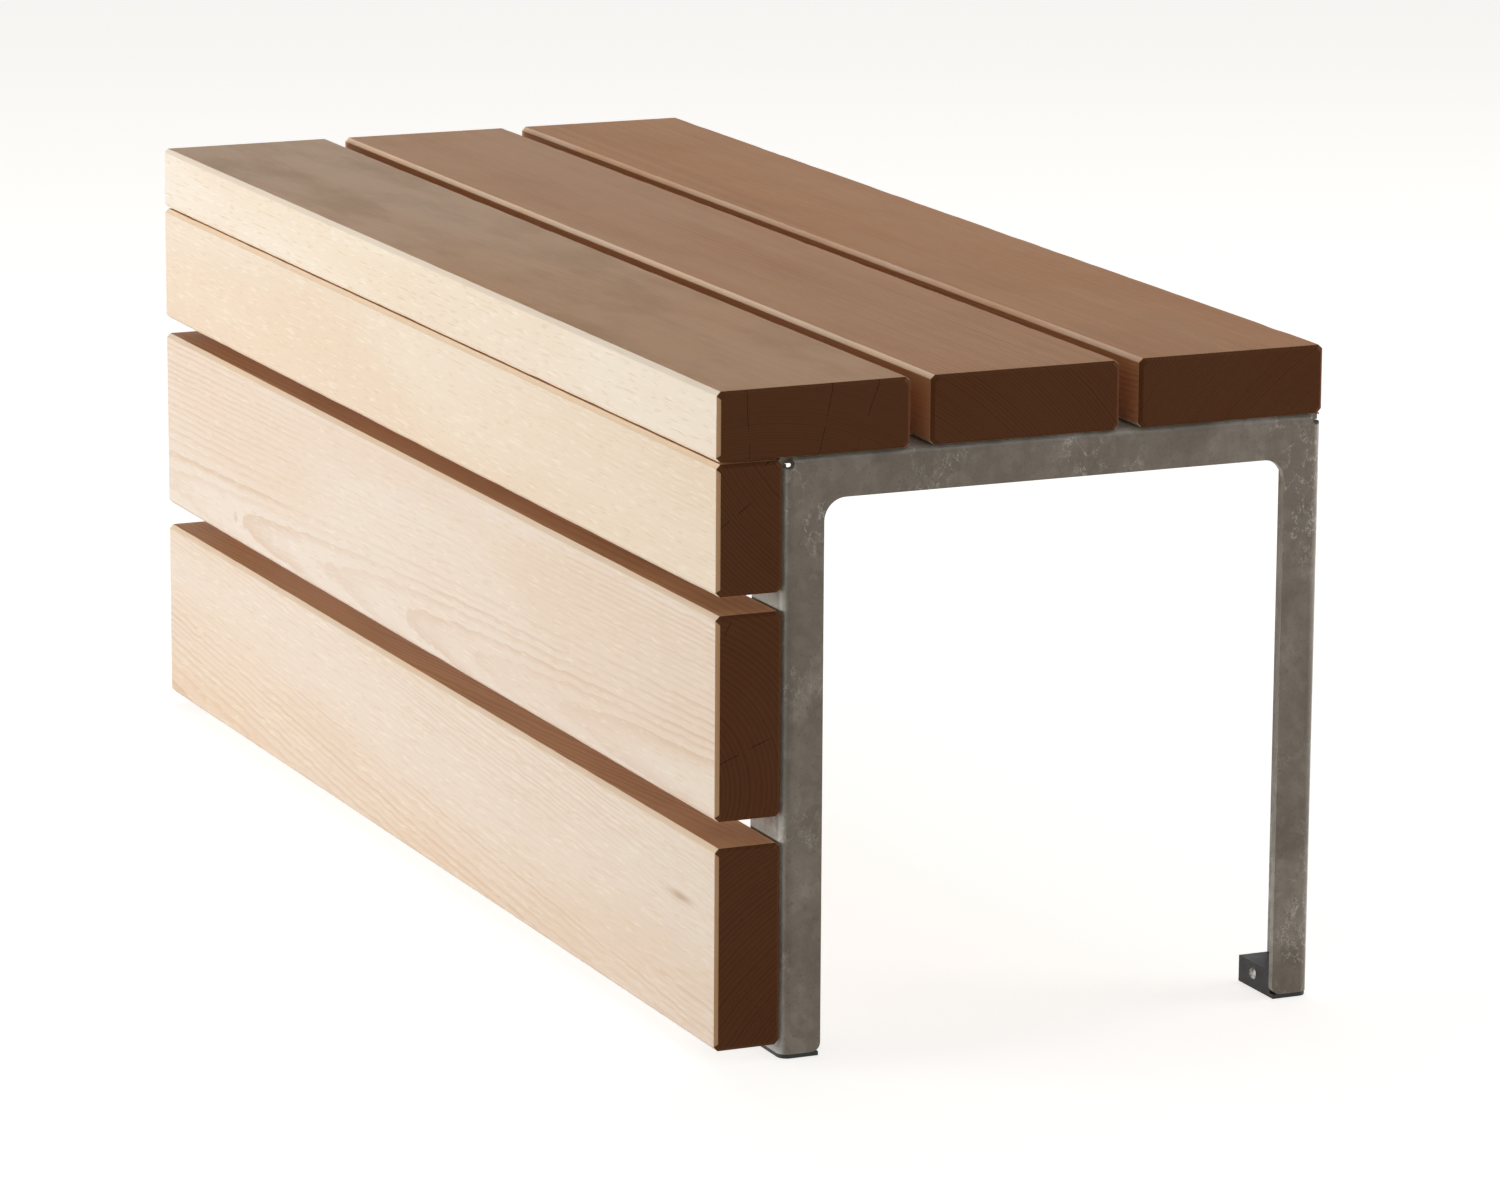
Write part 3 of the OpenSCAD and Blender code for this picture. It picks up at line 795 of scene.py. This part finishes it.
def make_plank(tree, node, material, seed):
    low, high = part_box(node)
    size = high - low
    plank = mesh_from_tree(node + "_piece", tree, {
        "Length": size.x, "Width": size.y, "Height": size.z, "Middle": (low + high) / 2,
        "Edge Cut": LONG_EDGE_CUT, "End Cut": SAWN_END_CUT, "Seed": seed, "Material": material})
    flatten_wide_faces(plank)
    dress(plank, node)


def make_screws(tree, node, sizes, places, material, seed):
    """One piece for a node's screws, from (place of the head's underside, direction of the shank) rows."""
    base = bpy.data.meshes.new(node + "_places")
    base.from_pydata([place for place, _ in places], [], [])
    along = base.attributes.new("along", "FLOAT_VECTOR", "POINT")
    for mark, (_, direction) in zip(along.data, places):
        mark.vector = direction
    screws = mesh_from_tree(node + "_piece", tree, {**sizes, "Seed": seed, "Material": material}, base)
    dress(screws, node)


def make_softened_copy(node, material):
    """A merged copy of a CAD node with its cut edges softened."""
    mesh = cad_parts[node].data.copy()
    mesh.name = node + "_piece"
    work = bmesh.new()
    work.from_mesh(mesh)
    bmesh.ops.remove_doubles(work, verts=work.verts, dist=MERGE_GAP)
    bmesh.ops.dissolve_limit(work, angle_limit=FLAT_FOLD, verts=work.verts, edges=work.edges)
    for face in work.faces:
        face.smooth = True
    work.to_mesh(mesh)
    work.free()
    mesh.materials.clear()
    mesh.materials.append(material)
    piece = bpy.data.objects.new(node + "_piece", mesh)
    bpy.context.scene.collection.objects.link(piece)
    bevel = piece.modifiers.new("Soft edges", "BEVEL")
    bevel.width = SOFT_EDGE
    bevel.segments = SOFT_EDGE_STEPS
    bevel.limit_method = "ANGLE"
    bevel.angle_limit = SHARP_FOLD
    bevel.use_clamp_overlap = True
    flatten_wide_faces(piece)
    dress(piece, node)


CREAM = colour(235, 221, 206)
CREAM_LINE = colour(223, 200, 177)
PINKISH = colour(236, 223, 210)
PINKISH_LINE = colour(220, 197, 176)
STRAW = colour(242, 232, 217)
STRAW_LINE = colour(225, 204, 178)
HONEY = colour(238, 223, 204)
HONEY_LINE = colour(224, 200, 173)
# Colours of each plank's top chamfers: painted light, with painted shade on the back plank
FRONT_CHAMFER_LIGHT = colour(243, 229, 211)
MIDDLE_CHAMFER_LIGHT = colour(250, 216, 183)
BACK_CHAMFER_SHADE = colour(221, 178, 145)
BOARD_CHAMFER_LIGHT = colour(240, 216, 186)

# Each plank's wood. Its pith lies at (Y, Z) halfway along the bench, and leans by so much a metre.
# A plank's top colour, top chamfer colour, left grey and gap colours are painted shade, painted light and a
# painted sheen. The top colour lies over a tan.
SEAT_PLANKS = {
    "seat_plank_front": dict(
        pith=(-0.190, 0.235), lean=(0.006, 0.010), ring_width=1.6 * MM, wander=7 * MM, ripple=1.2 * MM,
        seed=1.0, early=STRAW, late=STRAW_LINE, edge=FRONT_CHAMFER_LIGHT,
        figure=0.3, flecks=0.45, smudged=0.6, weathered=0.45, back_gap_shade=1.0),
    "seat_plank_middle": dict(
        pith=(-0.190, 0.230), lean=(0.012, -0.008), ring_width=2.2 * MM, wander=8 * MM,
        seed=2.0, early=CREAM, late=CREAM_LINE, edge=MIDDLE_CHAMFER_LIGHT, tanned=TOP_TAN_AND_SHADE_MIDDLE,
        weathered=0.15, front_gap_shade=1.0, back_gap_shade=1.0),
    "seat_plank_back": dict(
        pith=(0.330, 0.240), lean=(-0.010, 0.012), ring_width=2.0 * MM, wander=8 * MM,
        seed=3.0, early=PINKISH, late=PINKISH_LINE, edge=BACK_CHAMFER_SHADE, tanned=TOP_TAN_AND_SHADE_BACK, front_gap_shade=1.0),
}
SIDE_BOARDS = {
    "side_board_top": dict(
        pith=(-0.060, 0.500), lean=(0.010, -0.040), ring_width=2.6 * MM, wander=14 * MM,
        seed=4.0, early=HONEY, late=HONEY_LINE, edge=BOARD_CHAMFER_LIGHT, tanned=TOP_TAN_AND_SHADE_BOARD,
        figure=0.25, flecks=0.35),
    "side_board_middle": dict(
        pith=(-0.2700, 0.182), lean=(0.022, 0.0), ring_width=3.6 * MM, wander=8 * MM,
        seed=5.0, early=PINKISH, late=PINKISH_LINE, edge=BOARD_CHAMFER_LIGHT, tanned=TOP_TAN_AND_SHADE_BOARD, figure=0.85),
    "side_board_bottom": dict(
        pith=(-0.060, -0.060), lean=(0.010, -0.060), ring_width=3.2 * MM, wander=8 * MM, ripple=2.4 * MM,
        heart_radius=0.193, seed=6.0, early=CREAM, late=CREAM_LINE, edge=BOARD_CHAMFER_LIGHT, tanned=TOP_TAN_AND_SHADE_BOARD,
        figure=0.85, knot=(0.479, -0.2165, 0.100), knot_size=2.5 * MM),
}


def make_bench():
    """Every visible piece of the bench, one for each CAD node."""
    wood_group = planed_wood_group(growth_rings_group(), drying_checks_group())
    planks = plank_tree()
    for node, wood in (SEAT_PLANKS | SIDE_BOARDS).items():
        make_plank(planks, node, plank_wood(wood_group, node, **wood), wood["seed"])
    plate = galvanised_plate(galvanised_group())
    plastic = moulded_plastic()
    steel = screw_steel()
    screws = screw_tree()
    foot_screw_places = []
    for seed, end in enumerate(("left", "right")):
        make_softened_copy("end_frame_" + end, plate)
        for side in ("front", "back"):
            make_softened_copy(f"foot_{side}_{end}", plastic)
            foot_screw_places.append(foot_screw_place(side, end))
        make_screws(screws, "seat_screws_" + end, WOOD_SCREW, seat_screw_places(end), steel, seed)
        make_screws(screws, "side_screws_" + end, WOOD_SCREW, side_screw_places(end), steel, seed + 2)
    make_screws(screws, "foot_screws", FOOT_SCREW, foot_screw_places, steel, seed=4)


def middle_x(node):
    low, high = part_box(node)
    return (low.x + high.x) / 2


def seat_screw_places(end):
    """Two a plank, up through the frame's top flange."""
    x = middle_x("seat_screws_" + end)
    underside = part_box("seat_screws_" + end)[1].z - WOOD_SCREW["Length"]
    frame_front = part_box("end_frame_" + end)[0].y
    boxes = [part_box(plank) for plank in SEAT_PLANKS]
    rows = [(max(low.y, frame_front) + SCREW_EDGE, high.y - SCREW_EDGE) for low, high in boxes]
    return [((x, y, underside), (0, 0, 1)) for row in rows for y in row]


def side_screw_places(end):
    """Two a board, forward through the frame's front flange."""
    x = middle_x("side_screws_" + end)
    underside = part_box("side_screws_" + end)[0].y + WOOD_SCREW["Length"]
    boxes = [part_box(board) for board in SIDE_BOARDS]
    rows = [(low.z + SCREW_EDGE, high.z - SCREW_EDGE) for low, high in boxes]
    return [((x, underside, z), (0, -1, 0)) for row in rows for z in row]


def foot_screw_place(side, end):
    """Through the foot into the leg's flange, from the foot's free face."""
    low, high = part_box(f"foot_{side}_{end}")
    screw_low, screw_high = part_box("foot_screws")
    x = middle_x("side_screws_" + end)
    z = (screw_low.z + screw_high.z) / 2
    return ((x, high.y, z), (0, -1, 0)) if side == "front" else ((x, low.y, z), (0, 1, 0))


def seen_by(tree, *rays):
    """1 for these kinds of ray and 0 for all others."""
    path = tree.nodes.new("ShaderNodeLightPath")
    seen = Wire(tree, path.outputs[rays[0]])
    for ray in rays[1:]:
        seen = seen.maths("MAXIMUM", path.outputs[ray])
    return seen


def pale_floor(width, tone, glow_strength):
    """A floor that keeps the bench's shadow, and that a glow makes near white to camera and reflections."""
    bpy.ops.mesh.primitive_plane_add(size=width)
    floor = bpy.context.object
    floor.name = "floor"
    material = bpy.data.materials.new("pale_floor")
    material.use_nodes = True
    tree = material.node_tree
    tree.nodes.clear()
    matt = add_node(tree, "ShaderNodeBsdfDiffuse", {"Color": tone})
    glow = add_node(tree, "ShaderNodeEmission", {"Color": (1, 1, 1, 1)})
    feed(tree, glow.inputs["Strength"], seen_by(tree, "Is Camera Ray", "Is Glossy Ray") * glow_strength)
    both = add_node(tree, "ShaderNodeAddShader", {0: matt.outputs[0], 1: glow.outputs[0]})
    out = tree.nodes.new("ShaderNodeOutputMaterial")
    feed(tree, out.inputs["Surface"], both.outputs[0])
    floor.data.materials.append(material)


def soft_world(strength, warmth):
    """Even, slightly warm light from all round, which the camera and reflections see as white."""
    world = bpy.data.worlds.new("studio")
    bpy.context.scene.world = world
    world.use_nodes = True
    tree = world.node_tree
    seen = seen_by(tree, "Is Camera Ray", "Is Glossy Ray", "Is Transmission Ray")
    tint = mix_colours(tree, seen, warmth, (1, 1, 1, 1))
    feed(tree, tree.nodes["Background"].inputs["Color"], tint)
    feed(tree, tree.nodes["Background"].inputs["Strength"], seen * (1.0 - strength) + strength)


def softbox(name, place, aim, width, height, watts):
    light = bpy.data.lights.new(name, "AREA")
    light.shape = "RECTANGLE"
    light.size = width
    light.size_y = height
    light.energy = watts
    lamp = bpy.data.objects.new(name, light)
    lamp.location = place
    lamp.rotation_mode = "QUATERNION"
    lamp.rotation_quaternion = (Vector(aim) - Vector(place)).to_track_quat("-Z", "Y")
    bpy.context.scene.collection.objects.link(lamp)


def photo_camera(place, aim, lens, roll):
    """Stands and rolls as the photograph's camera did, aimed at the bench with a longer lens."""
    camera = bpy.data.cameras.new("camera")
    camera.sensor_width = 36.0
    camera.lens = lens
    seen_from = bpy.data.objects.new("camera", camera)
    seen_from.location = place
    seen_from.rotation_mode = "QUATERNION"
    level = (Vector(aim) - seen_from.location).to_track_quat("-Z", "Y")
    seen_from.rotation_quaternion = level @ Quaternion((0, 0, 1), roll)
    bpy.context.scene.collection.objects.link(seen_from)
    bpy.context.scene.camera = seen_from


make_bench()
pale_floor(width=30, tone=colour(228, 226, 223), glow_strength=0.72)
soft_world(strength=0.20, warmth=colour(255, 244, 231))
softbox("key", place=(-1.2, -4.2, 0.75), aim=(0, 0, 0.22), width=2.8, height=1.1, watts=138)
softbox("overhead", place=(-1.0, 0.8, 3.2), aim=(0, 0, 0.44), width=2.2, height=2.2, watts=17)
softbox("back_fill", place=(1.0, 4.0, 0.9), aim=(0, 0, 0.2), width=3.0, height=1.4, watts=70)
photo_camera(place=(4.220, -1.832, 1.223), aim=(0.10, 0.0, 0.1995), lens=156.7, roll=math.radians(0.32))
bpy.context.scene.view_settings.view_transform = "Standard"
